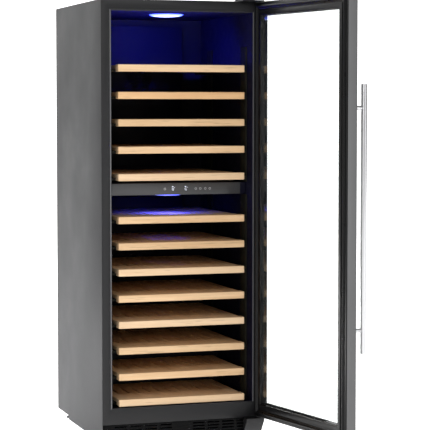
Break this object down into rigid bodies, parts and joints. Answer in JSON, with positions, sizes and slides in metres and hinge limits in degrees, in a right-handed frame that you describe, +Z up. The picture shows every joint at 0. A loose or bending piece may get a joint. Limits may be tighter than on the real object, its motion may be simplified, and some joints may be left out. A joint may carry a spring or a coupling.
{
  "type": "wine cooler",
  "caption": "Free-standing two-zone wine cooler with a right-hung glass door standing open, slatted sliding beech shelves and a long bar handle.",
  "frame": {"origin": "centre of the base pan's flat underside", "axes": "+Z up; the front looks along -Y; +X is to the viewer's right, the hinge side"},
  "size_m": [0.7616, 1.2906, 1.6003],
  "materials": {
    "satin_dark_steel": "satin dark grey coated steel sheet",
    "black_steel": "satin black coated steel",
    "black_plastic": "black moulded plastic, lightly textured",
    "tub_plastic": "dark moulded plastic, semi-gloss",
    "galvanised": "zinc-coated steel sheet",
    "fascia_grey": "mid-grey satin plastic",
    "lamp_lens": "white diffuser, lit",
    "beech": "oiled beech",
    "aluminium": "plain mill finish",
    "stainless": "brushed stainless steel",
    "rubber": "black magnetic seal",
    "clear_glass": "clear glass",
    "compressor_black": "black painted steel"
  },
  "bodies": {
    "cabinet": {"back_panel": "galvanised", "base_pan": "galvanised", "cable_gland": "black_plastic", "compressor": "compressor_black", "condenser": "aluminium", "condenser_fan_shroud": "black_plastic", "control_fascia": "fascia_grey", "drip_tray": "black_plastic", "duct_cover_lower": "tub_plastic", "duct_cover_upper": "tub_plastic", "evaporator_lower": "aluminium", "evaporator_upper": "aluminium", "foot_front_left": "black_plastic", "foot_front_right": "black_plastic", "foot_rear_left": "black_plastic", "foot_rear_right": "black_plastic", "front_frame": "black_steel", "hinge_bottom": "black_steel", "hinge_cover": "black_plastic", "hinge_top": "black_steel", "inner_liner": "tub_plastic", "lamp_lower": "lamp_lens", "lamp_upper": "lamp_lens", "machine_cover": "galvanised", "plinth_grille": "black_plastic", "runner_left_lower": "black_plastic", "runner_left_upper": "black_plastic", "runner_right_lower": "black_plastic", "runner_right_upper": "black_plastic", "side_panel_left": "satin_dark_steel", "side_panel_right": "satin_dark_steel", "top_panel": "satin_dark_steel", "zone_divider": "tub_plastic"},
    "door": {"door_outer_frame": "satin_dark_steel", "door_inner_frame": "black_plastic", "glass_pane_outer": "clear_glass", "glass_pane_inner": "clear_glass", "glass_spacer": "black_plastic", "door_gasket": "rubber", "handle_bar": "stainless", "handle_post_lower": "stainless", "handle_post_upper": "stainless"},
    "shelf_01": {"shelf_01": "beech"},
    "shelf_02": {"shelf_02": "beech"},
    "shelf_03": {"shelf_03": "beech"},
    "shelf_04": {"shelf_04": "beech"},
    "shelf_05": {"shelf_05": "beech"},
    "shelf_06": {"shelf_06": "beech"},
    "shelf_07": {"shelf_07": "beech"},
    "shelf_08": {"shelf_08": "beech"},
    "shelf_09": {"shelf_09": "beech"},
    "shelf_10": {"shelf_10": "beech"},
    "shelf_11": {"shelf_11": "beech"},
    "shelf_12": {"shelf_12": "beech"},
    "shelf_13": {"shelf_13": "beech"},
    "fan_upper": {"fan_rotor_upper": "black_plastic"},
    "fan_lower": {"fan_rotor_lower": "black_plastic"},
    "condenser_fan": {"condenser_fan_rotor": "black_plastic"}
  },
  "joints": [
    {"name": "door_hinge", "type": "hinge", "parent": "cabinet", "child": "door", "pos_m": [0.2825, -0.3595, 0], "axis": [0, 0, 1], "range_deg": [-101, 4]},
    {"name": "shelf_01_slide", "type": "slide", "parent": "cabinet", "child": "shelf_01", "axis": [0, -1, 0], "range_m": [0, 0.3]},
    {"name": "shelf_02_slide", "type": "slide", "parent": "cabinet", "child": "shelf_02", "axis": [0, -1, 0], "range_m": [0, 0.3]},
    {"name": "shelf_03_slide", "type": "slide", "parent": "cabinet", "child": "shelf_03", "axis": [0, -1, 0], "range_m": [0, 0.3]},
    {"name": "shelf_04_slide", "type": "slide", "parent": "cabinet", "child": "shelf_04", "axis": [0, -1, 0], "range_m": [0, 0.3]},
    {"name": "shelf_05_slide", "type": "slide", "parent": "cabinet", "child": "shelf_05", "axis": [0, -1, 0], "range_m": [0, 0.3]},
    {"name": "shelf_06_slide", "type": "slide", "parent": "cabinet", "child": "shelf_06", "axis": [0, -1, 0], "range_m": [0, 0.3]},
    {"name": "shelf_07_slide", "type": "slide", "parent": "cabinet", "child": "shelf_07", "axis": [0, -1, 0], "range_m": [0, 0.3]},
    {"name": "shelf_08_slide", "type": "slide", "parent": "cabinet", "child": "shelf_08", "axis": [0, -1, 0], "range_m": [0, 0.3]},
    {"name": "shelf_09_slide", "type": "slide", "parent": "cabinet", "child": "shelf_09", "axis": [0, -1, 0], "range_m": [0, 0.3]},
    {"name": "shelf_10_slide", "type": "slide", "parent": "cabinet", "child": "shelf_10", "axis": [0, -1, 0], "range_m": [0, 0.3]},
    {"name": "shelf_11_slide", "type": "slide", "parent": "cabinet", "child": "shelf_11", "axis": [0, -1, 0], "range_m": [0, 0.3]},
    {"name": "shelf_12_slide", "type": "slide", "parent": "cabinet", "child": "shelf_12", "axis": [0, -1, 0], "range_m": [0, 0.3]},
    {"name": "shelf_13_slide", "type": "slide", "parent": "cabinet", "child": "shelf_13", "axis": [0, -1, 0], "range_m": [0, 0.3]},
    {"name": "fan_upper_spin", "type": "hinge", "parent": "cabinet", "child": "fan_upper", "pos_m": [0, 0.2215, 1.3], "axis": [0, 1, 0], "continuous": true},
    {"name": "fan_lower_spin", "type": "hinge", "parent": "cabinet", "child": "fan_lower", "pos_m": [0, 0.2215, 0.64], "axis": [0, 1, 0], "continuous": true},
    {"name": "condenser_fan_spin", "type": "hinge", "parent": "cabinet", "child": "condenser_fan", "pos_m": [0.062, 0.2065, 0.125], "axis": [1, 0, 0], "continuous": true}
  ]
}
